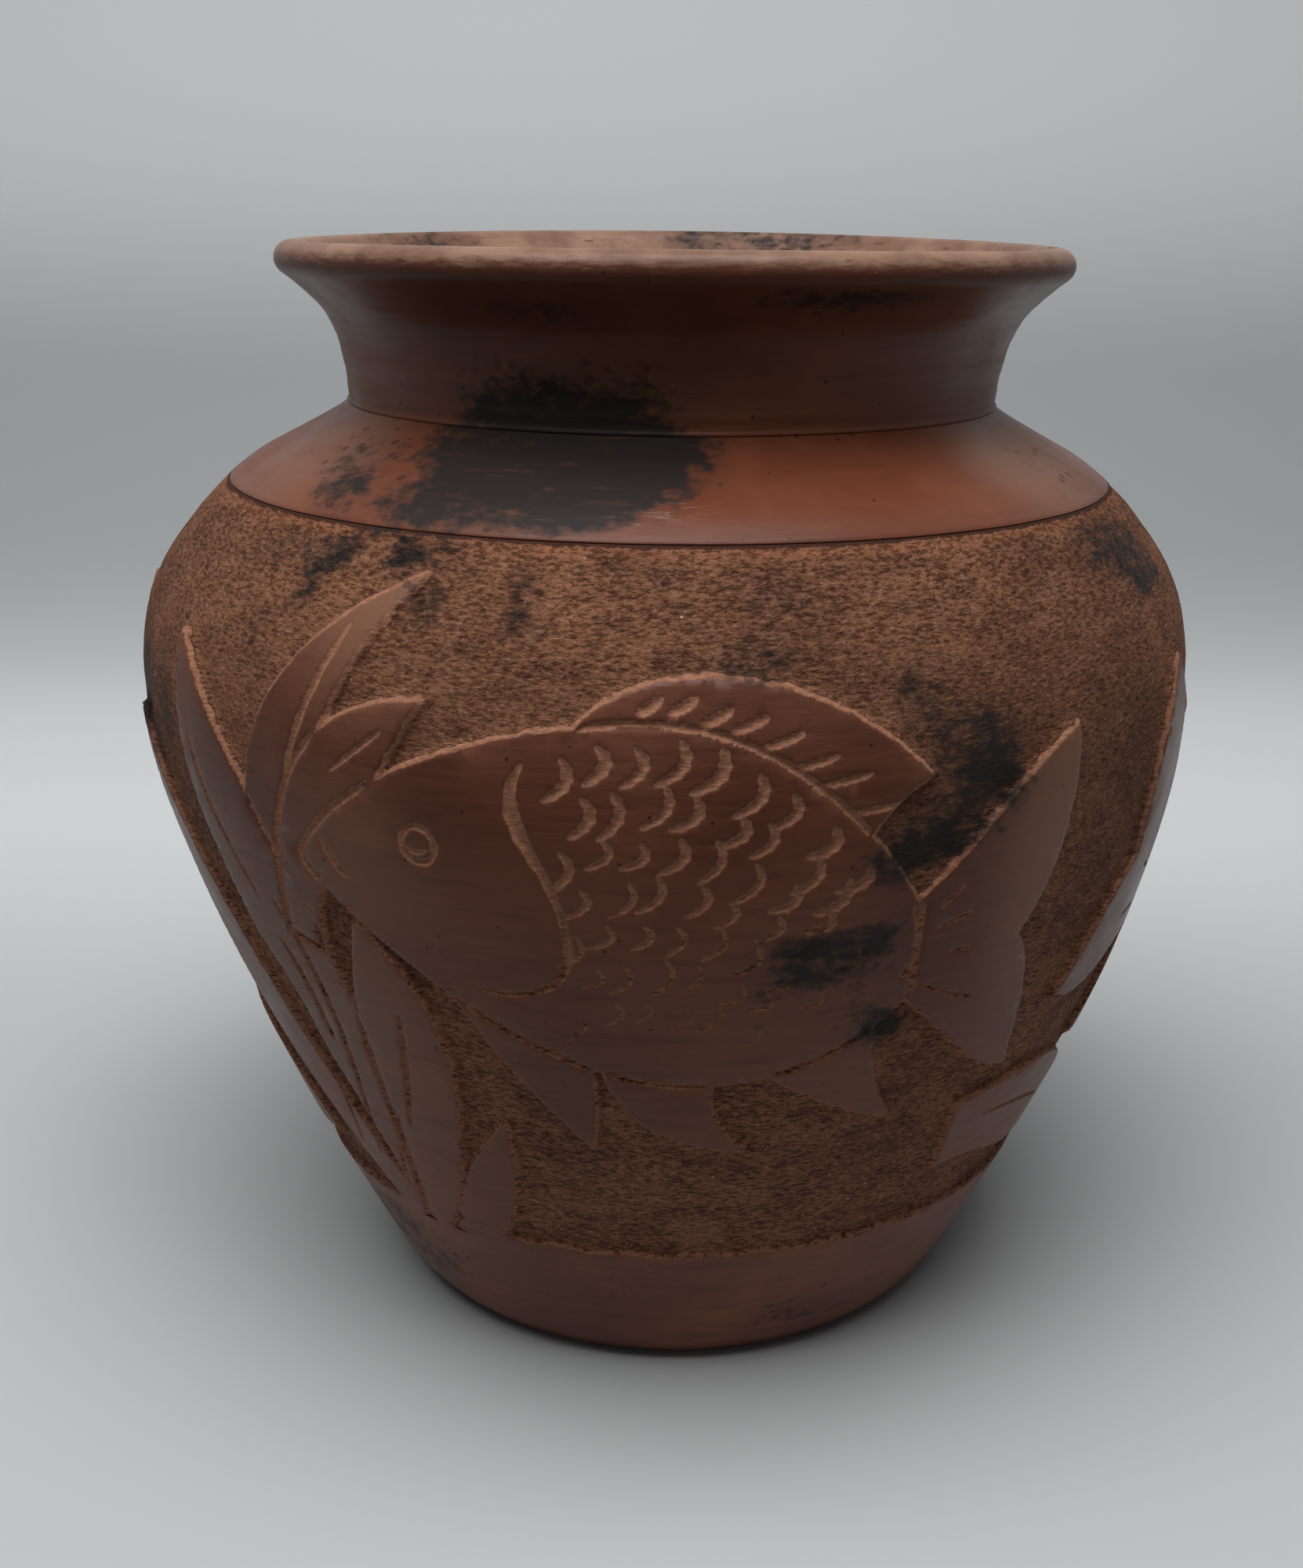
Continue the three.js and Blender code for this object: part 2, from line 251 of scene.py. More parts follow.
def smoked(tree, place, colour, roughness):
    """Black clouds that the open fire left, broken into specks at their edges."""
    smoke = kept(tree, "smoke")
    blown = joined(tree, "Mapping", {}, {"Vector": place, "Scale": (1, 1, 1.8)}).outputs[0]
    specks = noise(tree, blown, 330, 2, 0.55)
    drift = noise(tree, blown, 75, 3, 0.55)
    uneven = counted(tree, "MULTIPLY_ADD", specks, 1.5, counted(tree, "MULTIPLY_ADD", drift, 1.5, -1.7))
    density = counted(tree, "ADD", counted(tree, "MULTIPLY", smoke, 1.5), uneven)
    edge = ramped(tree, smoke, 0.05, 0.35)
    amount = counted(tree, "MULTIPLY", ramped(tree, density, 0.3, 1.0, 0, 0.95), edge)
    flecked = ramped(tree, smoke, 0.14, 0.4, 0, 0.6)
    spots = counted(tree, "MULTIPLY", grit(tree, place, 330, 0.27, 0.4), flecked)
    amount = counted(tree, "MAXIMUM", amount, spots)
    level_place = joined(tree, "Mapping", {}, {"Vector": place, "Scale": (1, 1, 16)}).outputs[0]
    scratches = ramped(tree, noise(tree, level_place, 70, 4, 0.7), 0.58, 0.68, 1, 0.72)
    amount = counted(tree, "MULTIPLY", amount, scratches)
    tinted = mixed(tree, ramped(tree, smoke, 0.1, 0.8, 0, 0.35), colour, (0.06, 0.03, 0.024, 1))
    blackened = mixed(tree, amount, tinted, (0.012, 0.0105, 0.01, 1))
    dulled = joined(tree, "Mix", {"data_type": "FLOAT"}, {0: amount, 2: roughness, 3: 0.55}).outputs[0]
    return blackened, dulled


def clay_shader(name):
    """A new material with its tree, its shader and the place on the pot."""
    clay = bpy.data.materials.new(name)
    clay.use_nodes = True
    tree = clay.node_tree
    shader = tree.nodes["Principled BSDF"]
    shader.inputs["Specular IOR Level"].default_value = 0.16
    place = joined(tree, "TexCoord", {}, {}).outputs["Object"]
    return clay, tree, shader, place


def finish_clay(tree, shader, place, colour, roughness, height, depth):
    """Smokes the clay and joins its look to the shader; depth is metres for a height of one."""
    colour, roughness = smoked(tree, place, colour, roughness)
    raised = joined(tree, "Bump", {}, {"Height": height, "Strength": 1.0, "Distance": depth})
    tree.links.new(colour, shader.inputs["Base Color"])
    tree.links.new(roughness, shader.inputs["Roughness"])
    tree.links.new(raised.outputs[0], shader.inputs["Normal"])


burnished_clay, tree, shader, place = clay_shader("burnished_clay")
colour, roughness, height = burnished_skin(tree, place)
finish_clay(tree, shader, place, colour, roughness, height, 0.0002)

foot_skin = swept((sole_radius, 0), (foot_line_radius, foot_line), 50, 0.24, 27, 0.7)
slab_edge = spaced(foot_skin[foot_skin[:, 1] < floor_top], 1.2)[1:]
slab_rim = np.array([np.interp(floor_top, foot_skin[:, 1], foot_skin[:, 0]), floor_top])
rubbed_edge = [(0, 0), (20, 0), (40, 0), (51.9, 0), (52.8, 0.1), (53.5, 0.45)]
floor = [(40, floor_top), (20, floor_top), (0, floor_top)]
sole_slab = thrown("sole_slab", [*rubbed_edge, *slab_edge, slab_rim, *floor])
sole_clouds = [(150, 4, 18, 8, 0.8), (-100, 2, 22, 9, 0.7)]
marked(sole_slab, sole_clouds)
hand_built(sole_slab)
sole_slab.data.materials.append(burnished_clay)
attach(sole_slab, "root")
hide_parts("base_disc")

# The foot is the first coil of the wall, drawn up from the slab and smoothed over it inside in a
# cove. Its outside is left whole below the carving and burnished to a low shine.
foot_inside_radius = 64.46
cove_across, cove_up, cove_radius = 48, 21, 12
foot_outside = spaced(foot_skin[foot_skin[:, 1] > floor_top + 0.4], 1.2)
cove_turns = [math.radians(a) for a in range(0, 71, 7)]
cove = [(cove_across + cove_radius * math.cos(a), cove_up - cove_radius * math.sin(a)) for a in cove_turns]
foot_inside = [(foot_inside_radius, foot_line), (62.2, 25.4), *cove, (50.1, floor_top)]
foot_band = thrown("foot_band", [slab_rim, *foot_outside, *foot_inside])
foot_clouds = [(24, 12, 14, 8, 0.45), (-58, 20, 30, 9, 0.5), (150, 6, 24, 12, 0.7), (-128, 18, 20, 9, 0.6)]
marked(foot_band, foot_clouds)
hand_built(foot_band)
foot_band.data.materials.append(burnished_clay)
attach(foot_band, "root")
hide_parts("foot_wall")

# The carved wall is two wide coils joined at the belly. It was burnished all over, then fish and
# reeds were drawn on it with a point, and the ground round them was scraped back to gritty clay.
belly_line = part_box("lower_wall")[1].z * 1000
shoulder_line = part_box("upper_wall")[1].z * 1000
belly_radius, belly_inside_radius = 101.2, 95.0
shoulder_line_radius, shoulder_inside_radius = 83.4, 72.6
girth = math.tau * belly_radius
slope_stretch = 1.04
ground_depth = 1.4
bank_width = 1.15
foot_border = 2.2
row_gap = 2.75
far = 9.0
belly_point, belly_inside_point = (belly_radius, belly_line), (belly_inside_radius, belly_line)
shoulder_point = (shoulder_line_radius, shoulder_line)
shoulder_inside_point = (shoulder_inside_radius, shoulder_line)
lower_skin = swept((foot_line_radius, foot_line), belly_point, 26.5, 0.15, 0, 0.33)
upper_skin = swept(belly_point, shoulder_point, 0, 0.54, -50, 0.23)
lower_inside = swept((foot_inside_radius, foot_line), belly_inside_point, 28.2, 0.06, 0, 0.35)
upper_inside = swept(belly_inside_point, shoulder_inside_point, 3, 0.43, -59, 0.31)


def curve(start, *pulls):
    """Points of a drawn outline: each pull is the two handles and the end of a curve, or an end."""
    points = [np.array(start, float)]
    for pull in pulls:
        ends = [points[-1], *np.array(pull, float).reshape(-1, 2)]
        if len(ends) == 2:
            points.append(ends[1])
            continue
        for t in np.linspace(0, 1, 15)[1:]:
            a, b, c, d = ends
            points.append((1 - t) ** 3 * a + 3 * (1 - t) ** 2 * t * b + 3 * (1 - t) * t**2 * c + t**3 * d)
    return np.array(points)


def bent(start, bend, end, count=15):
    """Points of a line from start to end that is drawn towards bend."""
    t = np.linspace(0, 1, count)[:, None]
    return (1 - t) ** 2 * np.array(start) + 2 * (1 - t) * t * np.array(bend) + t**2 * np.array(end)


def blade(root, bend, tip, root_half, swell):
    """A reed blade on a bent midrib, widest past its middle, that runs out to a point."""
    midrib = bent(root, bend, tip, 25)
    t = np.linspace(0, 1, 25)
    along = np.gradient(midrib, axis=0)
    across = np.column_stack([-along[:, 1], along[:, 0]]) / np.linalg.norm(along, axis=1)[:, None]
    half = (root_half * (1 - t) + swell * np.sin(np.pi * t**1.5))[:, None]
    return np.concatenate([(midrib + across * half)[:-1], midrib[-1:], (midrib - across * half)[-2::-1]])


fish_body = curve(
    (-64, 5.5),
    (-53, 20, -28, 31.5, -3, 31.5),
    (17, 31.5, 31, 16, 42, -1),
    (42, -17.5),
    (33, -27, 19, -32.5, 3, -32.5),
    (-19, -32.5, -46, -15, -64, 3),
)
fish_parts = [
    curve((38, -2), (50, 5, 58, 19, 72.5, 25.5), (74, 15, 72, -1, 64.5, -10.5),
          (72, -19, 70, -29, 73.5, -39.5), (60, -39, 54, -27, 38, -16)),
    curve((-17, 27), (-13, 34, -5, 38, 6, 38), (18, 38, 31, 33, 42, 21.5), (34, 18, 30, 11, 30, 5)),
    curve((12, -27), (24, -37, 34, -41, 44, -44), (37, -36, 35, -26, 36, -17)),
    curve((-40, -15), (-34, -28, -26, -38, -17, -47), (-14, -38, -17, -30, -12, -22)),
    curve((-14, -22), (-14, -38, -6, -46, 15.5, -48), (6, -44, 4, -34, 8, -26)),
    fish_body,
]
reed_parts = [
    blade((-58, -3), (-90, 95), (-44, 127), 5, 5),
    blade((-70, -3), (-97, 38), (-122, 95), 5, 6),
    blade((-63, -3), (-70, 66), (-98, 113), 6, 8.5),
    blade((-70, 64), (-63, 96), (-39, 110), 4, 5),
    blade((-66, -3), (-48, 40), (-56, 71), 6, 7.5),
    blade((-57, -3), (-44, 10), (-35, 33), 6, 3),
    blade((64, 23), (92, 26), (124, 12), 8, 7),
]

# Each cut is a line, half its width and its depth. The scales are short crescents in staggered
# rows under the back, shallower towards the belly.
around = np.array([(math.cos(a), math.sin(a)) for a in np.linspace(0.4, 6.4, 25)])
fish_cuts = [
    (curve((-22, 25), (-27, 17, -21, 12, -19, 6)), 1.0, 0.6),
    (curve((-23.5, 22), (-23, 12, -15, 2, -17, -8), (-18, -13, -24, -16, -33, -15)), 0.75, 0.55),
    (np.array([-39.7, 10.4]) + around * (2.9, 3.1), 0.62, 0.45),
    (bent((-41.5, 10), (-40.5, 8.4), (-38.4, 9.6)), 0.55, 0.35),
    (bent((-59, 9), (-57.5, 4), (-54.5, 2)), 0.65, 0.45),
    (bent((-62, -2.5), (-60, -5.5), (-55.5, -3)), 0.65, 0.45),
    (bent((40.4, -1), (43.5, -8), (39.8, -14)), 0.6, 0.45),
    (bent((45.6, -2), (48, 0), (49.9, 1.6)), 0.5, 0.4),
    (bent((45.6, -5.4), (49, -4.6), (52.5, -3.6)), 0.45, 0.35),
    (bent((49, -10.4), (51, -10.4), (53.5, -10.6)), 0.45, 0.35),
    (bent((41.5, -15), (46.5, -17.6), (56, -21)), 0.5, 0.35),
]
for i in range(8):
    angle = math.radians(37 - 3.6 * i)
    root = np.array([-5 + 4.75 * i, 32.2 - 0.33 * i**2 + 0.4 * math.sin(i * 2.3)])
    tip = root + (5 + 0.55 * i) * np.array([math.cos(angle), math.sin(angle)])
    ray = bent(root + (0.6, 0.9), (root + tip) / 2 + (0.3, 0.2), tip)
    fish_cuts.append((ray, 1.0 - 0.055 * i, 0.5 - 0.03 * i))
scale_step, row_step = 5.8, 7.2
for row in range(7):
    for i in range(14):
        x = -15.8 + scale_step * i + (row % 2) * 2.8 + 0.7 * math.sin(i * 3.1 + row * 1.7)
        y = 31.2 - 0.0178 * (x + 3) ** 2 - 5.6 - row_step * row + 0.6 * math.sin(i * 2.2 + row * 2.9)
        below_scales = -29 + 0.028 * max(0, x - 5) ** 2
        behind_gill = -20.5 + abs(y + 5) * 0.12
        before_tail = 39 - 0.72 * row
        if x > before_tail or y < below_scales or x < behind_gill:
            continue
        tilt = math.radians(-8 - 26 * max(0, (x + 3) / 40) + 8 * math.sin(i * 1.3 + row))
        turned = np.array([[math.cos(tilt), -math.sin(tilt)], [math.sin(tilt), math.cos(tilt)]])
        tall = 3.4 + 0.6 * math.sin(i * 5.1 + row * 3.3) - 0.16 * row
        crescent = bent((-0.5, tall), (2.9, 0.4), (-2.4, -tall)) @ turned.T + (x, y)
        half = 0.98 - 0.11 * row + 0.09 * math.sin(i * 1.9 + row)
        fish_cuts.append((crescent, half, 0.5 - 0.06 * row))
reed_cuts = [
    (bent((-54.5, 119.5), (-60, 108), (-65.5, 93)), 0.7, 0.5),
    (bent((-45.2, 104.9), (-49, 102), (-54.8, 97.5)), 0.5, 0.4),
    (bent((-92, 97), (-88, 83), (-81, 70)), 0.55, 0.4),
    (curve((-78.3, 61.7), (-75.5, 57, -74.3, 50, -74.1, 42.2)), 0.7, 0.5),
    (curve((-92, 65), (-82, 56, -79, 47, -78.6, 31)), 0.6, 0.45),
    (curve((-76, 70), (-68.5, 58, -68, 40, -77.2, 14.9)), 0.65, 0.5),
    (curve((-82.7, 49.3), (-81.5, 36, -80, 27, -83.8, 15.7)), 0.55, 0.4),
    (curve((-52.3, 53), (-53.5, 46, -55.5, 38, -60.3, 26.5)), 0.75, 0.55),
    (bent((-67.8, 19.2), (-69, 15), (-71.2, 11.1)), 0.5, 0.35),
    (bent((74, 25), (92, 24), (108, 18)), 0.5, 0.35),
]


def on_wall(lines, across, rise, tilt, facing):
    """Lines moved to their place on the wall, in millimetres round the belly and up the wall."""
    c, s = math.cos(math.radians(tilt)), math.sin(math.radians(tilt))
    spin = np.array([[c, -s], [s, c]]).T
    return [(line * (facing, 1)) @ spin + (across, rise) for line in lines]


figures = []
cuts = []
for parts, own_cuts, across, rise, tilt, facing in (
    (reed_parts, reed_cuts, 0, 0, 0, 1),
    (fish_parts, fish_cuts, 0, 77, 0, 1),
    (fish_parts, fish_cuts, 167, 53, -25, -1),
    (reed_parts, reed_cuts, -224, 0, 0, 1),
    (fish_parts, fish_cuts, -224, 80, 6, 1),
):
    figures += on_wall(parts, across, rise, tilt, facing)
    moved = on_wall([line for line, half, depth in own_cuts], across, rise, tilt, facing)
    cuts += [(line, half, depth) for line, (_, half, depth) in zip(moved, own_cuts)]


def distance(points, stretch, line, closed):
    """Millimetres from each point to a line, how far along the line that is, as a share of it,
    and whether the point is inside it."""
    starts = line if closed else line[:-1]
    ends = np.roll(line, -1, axis=0) if closed else line[1:]
    least, along = np.empty(len(points)), np.empty(len(points))
    inside = np.zeros(len(points), bool)
    for first in range(0, len(points), 4000):
        some = slice(first, first + 4000)
        a = (starts[None] - points[some, None]) * stretch[some, None]
        b = (ends[None] - points[some, None]) * stretch[some, None]
        run = b - a
        share = np.clip(-(a * run).sum(2) / np.maximum((run * run).sum(2), 1e-9), 0, 1)
        away = np.linalg.norm(a + run * share[..., None], axis=2)
        nearest = away.argmin(1)
        rows = np.arange(len(nearest))
        least[some] = away[rows, nearest]
        along[some] = (nearest + share[rows, nearest]) / len(starts)
        if closed:
            crosses = (a[..., 1] > 0) != (b[..., 1] > 0)
            at = a[..., 0] - a[..., 1] * run[..., 0] / np.where(crosses, run[..., 1], 1)
            inside[some] = (crosses & (at > 0)).sum(1) % 2 == 1
    return least, along, inside


def carving(places):
    """For places on the skin: how far outside the figures and the cuts each lies, and how deep
    the cuts are there. The ground ends short of the foot and just under the shoulder, and no
    distance is over far."""
    turn = np.arctan2(places[:, 0], -places[:, 1])
    points = np.column_stack([turn * belly_radius, places[:, 2] - foot_line])
    radius = np.hypot(places[:, 0], places[:, 1])
    stretch = np.column_stack([radius / belly_radius, np.full(len(points), slope_stretch)])
    outside = np.minimum(points[:, 1] - foot_border - 0.3 * np.sin(turn * 37), far)
    outside = np.minimum(outside, shoulder_line - places[:, 2] + 0.3)
    line_gap, line_sink = np.full(len(points), far), np.zeros(len(points))
    cut_gap, cut_sink = np.full(len(points), far), np.zeros(len(points))
    figure_gap = np.full(len(points), far)
    for lines, closed in ((figures, True), (cuts, False)):
        for drawn in lines:
            line, half, depth = (drawn, 0.75, 0.5) if closed else drawn
            middle = (line.min(0) + line.max(0)) / 2
            reach = (line.max(0) - line.min(0)) / 2 + 7
            off = points - middle
            off[:, 0] = (off[:, 0] + girth / 2) % girth - girth / 2
            near = np.flatnonzero((np.abs(off) < reach).all(1))
            gap, along, inside = distance(off[near], stretch[near], line - middle, closed)
            if closed:
                signed = np.where(inside, -gap, gap)
                sink = depth * np.clip(1 - (gap / half) ** 2, 0, 1)
                figure_gap[near] = np.minimum(figure_gap[near], signed)
                under = signed < -half
                line_gap[near] = np.where(under, far, np.minimum(line_gap[near], gap - half))
                line_sink[near] = np.where(under, 0, np.maximum(line_sink[near], sink))
            else:
                ring = np.linalg.norm(line[0] - line[-1]) < 1
                full = 1 if ring else np.sqrt(np.clip(4 * along * (1 - along), 0, 1))
                wide = half * (0.4 + 0.6 * full) * (1 + 0.14 * np.sin(along * 29 + middle[0]))
                sink = depth * (0.25 + 0.75 * full) * np.clip(1 - (gap / wide) ** 2, 0, 1)
                cut_gap[near] = np.minimum(cut_gap[near], gap - wide)
                cut_sink[near] = np.maximum(cut_sink[near], sink)
    outside = np.minimum(outside, figure_gap)
    within = eased(-figure_gap, 0.4, 1.1)
    line_gap = np.where(within > 0.4, line_gap, far)
    cut_gap = np.where(figure_gap < 0.3, cut_gap, far)
    cut_sink = np.where(figure_gap < 0.3, cut_sink, 0)
    return outside, np.minimum(line_gap, cut_gap), np.maximum(line_sink * within, cut_sink)


outside_line = np.concatenate([spaced(lower_skin, row_gap), spaced(upper_skin, row_gap)[1:]])
inside_line = np.concatenate([spaced(lower_inside, 7), spaced(upper_inside, 5)[1:]])[::-1]
carved_wall = thrown("carved_wall", [*outside_line, *inside_line])
wall_skin = np.concatenate([lower_skin, upper_skin[1:]])

for cell in (2.8, 1.4, 0.7):
    mesh = carved_wall.data
    centres = np.empty(len(mesh.polygons) * 3, np.float32)
    mesh.polygons.foreach_get("center", centres)
    centres = centres.reshape(-1, 3).astype(float) * 1000
    skin_radius = np.interp(centres[:, 2], wall_skin[:, 1], wall_skin[:, 0])
    outer = np.hypot(centres[:, 0], centres[:, 1]) > skin_radius - 2
    outside, gap, sink = carving(centres)
    bank = (outside > -0.35 * cell) & (outside < bank_width + 0.25 * cell) & (cell > 1)
    chosen = outer & (bank | (gap < 0.55 * cell - 0.25))
    bpy.ops.object.mode_set(mode="EDIT")
    bpy.ops.mesh.select_mode(type="FACE")
    bpy.ops.mesh.select_all(action="DESELECT")
    bpy.ops.object.mode_set(mode="OBJECT")
    mesh.polygons.foreach_set("select", chosen)
    bpy.ops.object.mode_set(mode="EDIT")
    bpy.ops.mesh.subdivide(number_cuts=1, ngon=False, quadcorner="INNERVERT")
    bpy.ops.object.mode_set(mode="OBJECT")

points = points_of(carved_wall)
radius = np.hypot(points[:, 0], points[:, 1])
skin_radius = np.interp(points[:, 2], wall_skin[:, 1], wall_skin[:, 0])
outer = radius > skin_radius - 2
outside, gap, sink = carving(points)
bank = eased(outside, 0, bank_width)
shallower = 0.3 + 0.7 * eased(shoulder_line - points[:, 2], 0.3, 9)
depth = bank * (ground_depth * shallower + 0.22 * lumps(points, 5) + 0.12 * lumps(points, 2.2)) + sink
points[:, :2] *= np.where(outer, (skin_radius - depth) / radius, 1)[:, None]
place_points(carved_wall, points)
keep(carved_wall, "beside", np.where(outer, outside, -3))
keep(carved_wall, "cut", np.where(outer, gap, far))
keep(carved_wall, "within", np.where(outer, 0, 1))
wall_clouds = [
    (-42, 158, 4, 2.6, 0.6), (-37, 158, 4, 3, 0.68), (-39, 152, 3, 4.5, 0.6), (-43.5, 147, 2.6, 4, 0.55),
    (-28.5, 158.5, 4, 3, 0.68), (-24, 159.5, 4, 2.6, 0.62), (-24, 153, 5, 3.5, 0.5), (-14.5, 156, 4, 3, 0.52),
    (-13.5, 151, 4, 3, 0.55), (-34, 162, 5, 2, 0.45), (-47, 158, 4, 4, 0.4), (-19, 162, 5, 2, 0.45),
    (-5, 160.5, 6, 2.4, 0.45), (10, 155, 7, 4, 0.4), (8, 147, 8, 4, 0.5), (0, 157, 4, 2.5, 0.4),
    (23, 141, 6, 6, 0.5), (28, 132, 8, 8, 0.66), (32, 125, 6, 8, 0.58), (25, 118, 9, 6, 0.68),
    (20, 114, 6, 5, 0.5), (13, 99, 13, 5, 0.55), (18, 101, 9, 4, 0.5), (13, 91, 17, 8, 0.36),
    (21, 83, 5, 4, 0.85), (58, 153, 9, 6, 0.6), (55, 158, 8, 4, 0.5), (66, 153, 10, 7, 0.55),
    (-61, 128, 5, 8, 0.45), (-70, 116, 8, 10, 0.6), (-70, 132, 8, 9, 0.6), (-58, 118, 16, 22, 0.3),
    (120, 140, 22, 12, 0.62), (112, 152, 12, 6, 0.5), (165, 80, 22, 14, 0.6), (150, 98, 14, 10, 0.45),
    (-120, 95, 16, 18, 0.55), (-150, 150, 20, 7, 0.66), (-130, 156, 12, 5, 0.5), (-95, 60, 18, 12, 0.4),
    (95, 60, 16, 16, 0.5), (-170, 120, 12, 9, 0.6), (78, 112, 9, 9, 0.5),
]
marked(carved_wall, wall_clouds)
# Pale marks on the wall: wear, and painted sheen on the upper reed tips near -27 degrees.
wall_wear_and_sheen = [
    (42, 110, 15, 26, 0.8), (-27, 150, 12, 12, 0.65), (-150, 120, 20, 20, 0.4), (-30, 111, 13, 13, 0.3),
    (-36, 82, 12, 18, 0.3), (100, 120, 14, 14, 0.3),
]
marked(carved_wall, wall_wear_and_sheen, "wear_and_sheen")
hand_built(carved_wall)

carved_clay, tree, shader, place = clay_shader("carved_clay")
colour, roughness, height = burnished_skin(tree, place)
ragged = noise(tree, place, 340, 4, 0.65)
beside = counted(tree, "MULTIPLY_ADD", ragged, 1.7, counted(tree, "SUBTRACT", kept(tree, "beside"), 0.85))
cut = counted(tree, "MULTIPLY_ADD", ragged, 0.4, counted(tree, "SUBTRACT", kept(tree, "cut"), 0.2))
dragged = joined(tree, "Mapping", {}, {"Vector": place, "Scale": (1, 1, 2.6)}).outputs[0]
torn = noise(tree, dragged, 700, 5, 0.7)
sandy = noise(tree, place, 2000, 3, 0.6)
crowded = noise(tree, dragged, 110, 2)
level = counted(tree, "MULTIPLY_ADD", crowded, 0.2, counted(tree, "SUBTRACT", torn, 0.1))
broad = noise(tree, place, 38, 3, 0.6)
ground = mixed(tree, ramped(tree, broad, 0.35, 0.65), (0.2, 0.084, 0.046, 1), (0.285, 0.122, 0.066, 1))
# Painted light and shade on the scraped ground: where the grain stands higher it is mixed paler, and its pits
# are painted nearly black.
ground = mixed(tree, ramped(tree, level, 0.52, 0.7, 0, 0.6), ground, (0.44, 0.225, 0.14, 1))
ground = mixed(tree, ramped(tree, sandy, 0.32, 0.52, 0.6, 0), ground, (0.12, 0.044, 0.023, 1))
pits = ramped(tree, level, 0.35, 0.42, 0.9, 0)
ground = mixed(tree, pits, ground, (0.055, 0.018, 0.009, 1))
ground = mixed(tree, grit(tree, place, 330, 0.06, 0.18), ground, (0.6, 0.48, 0.4, 1))
raw = mixed(tree, ramped(tree, torn, 0.38, 0.62), (0.26, 0.11, 0.062, 1), (0.37, 0.175, 0.108, 1))
height_on_pot = joined(tree, "SeparateXYZ", {}, {0: place}).outputs[2]
# Painted shade low on the pot: the raw clay of the banks and cuts there is mixed towards a deeper brown, and
# its pits towards near black, as faces turned down from the light.
painted_shade_low = ramped(tree, height_on_pot, 0.085, 0.12, 1, 0)
shaded_specks_low = counted(tree, "MULTIPLY", ramped(tree, level, 0.4, 0.48, 1, 0), painted_shade_low)
raw = mixed(tree, counted(tree, "MULTIPLY", painted_shade_low, 0.6), raw, (0.16, 0.062, 0.033, 1))
raw = mixed(tree, shaded_specks_low, raw, (0.06, 0.019, 0.009, 1))
under_shoulder = ramped(tree, height_on_pot, 0.1585, 0.1605)
# Just under the shoulder line the ground is mixed towards a bright orange: raw clay, with painted light on
# it.
lit_raw_strip = counted(tree, "MULTIPLY", ramped(tree, beside, 1.0, 3.2, 0.4, 0), under_shoulder)
ground = mixed(tree, lit_raw_strip, ground, (0.4, 0.15, 0.07, 1))
# Painted shadow: a near-black line along the cut under the shoulder, where its overhanging edge shades the
# ground.
groove_shadow = counted(tree, "MULTIPLY", ramped(tree, beside, 0.6, 0.9, 1, 0), ramped(tree, beside, -0.9, -0.5))
groove_shadow = counted(tree, "MULTIPLY", groove_shadow, under_shoulder)
in_ground = ramped(tree, beside, 0.5, 0.95)
in_bank = ramped(tree, beside, -0.2, 0.1)
in_cut = ramped(tree, cut, -0.2, 0.15, 1, 0)
colour = mixed(tree, in_bank, colour, raw)
colour = mixed(tree, in_ground, colour, ground)
colour = mixed(tree, in_cut, colour, raw)
colour = mixed(tree, groove_shadow, colour, (0.055, 0.021, 0.013, 1))
wiped = mixed(tree, ramped(tree, torn, 0.35, 0.65), (0.15, 0.062, 0.036, 1), (0.21, 0.09, 0.052, 1))
colour = mixed(tree, kept(tree, "within"), colour, wiped)
bare = counted(tree, "MAXIMUM", kept(tree, "within"), counted(tree, "MAXIMUM", in_bank, in_cut))
roughness = joined(tree, "Mix", {"data_type": "FLOAT"}, {0: bare, 2: roughness, 3: 0.9}).outputs[0]
combed = counted(tree, "MULTIPLY", torn, 0.9)
pitted = counted(tree, "MULTIPLY_ADD", torn, 3.4, ramped(tree, level, 0.34, 0.5, -1.3, 0.3))
pitted = counted(tree, "MULTIPLY_ADD", sandy, 0.8, pitted)
height = joined(tree, "Mix", {"data_type": "FLOAT"}, {0: bare, 2: height, 3: combed}).outputs[0]
height = joined(tree, "Mix", {"data_type": "FLOAT"}, {0: in_ground, 2: height, 3: pitted}).outputs[0]
finish_clay(tree, shader, place, colour, roughness, height, 0.00025)
carved_wall.data.materials.append(carved_clay)
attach(carved_wall, "root")
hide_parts("lower_wall", "upper_wall")

# The shoulder closes the pot in above the carving. A line was cut under it, so its edge stands
# over the scraped ground, and it was burnished round and round. The fire marked it most.
neck_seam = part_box("shoulder")[1].z * 1000
neck_point, neck_inside_point = (61.4, neck_seam), (55.2, neck_seam)
shoulder_skin = swept(shoulder_point, neck_point, -50, 0.37, -58.7, 0.73)
shoulder_inside = swept(shoulder_inside_point, neck_inside_point, -61, 0.91, -8, 0.2)
cut_edge = [(82.7, shoulder_line), (83.0, shoulder_line + 0.12)]
shoulder_outside = spaced(shoulder_skin[shoulder_skin[:, 1] > shoulder_line + 0.35], 0.9)
shoulder_outside[:, 1] += 0.55 * np.clip((64.8 - shoulder_outside[:, 0]) / 3.4, 0, 1) ** 2
pressed_seam = [(61.2, neck_seam + 0.3), (61.1, neck_seam)]
shoulder_section = [*cut_edge, *shoulder_outside, *pressed_seam, *spaced(shoulder_inside, 3)[::-1][1:]]
shoulder_ring = thrown("shoulder_ring", shoulder_section)
scuffs = [(-10, 166.2, 8, 1.6, 0.9), (-3, 166.6, 6, 1.8, 0.8), (-32, 168, 5, 1.5, 0.4)]
marked(shoulder_ring, scuffs, "scuffed")
# Painted sheen: the two sides of the shoulder are paled where their gloss would show the pale room.
shoulder_sheen = [(57, 170, 14, 9, 0.75), (-57, 170, 13, 9, 0.4)]
marked(shoulder_ring, shoulder_sheen, "wear_and_sheen")
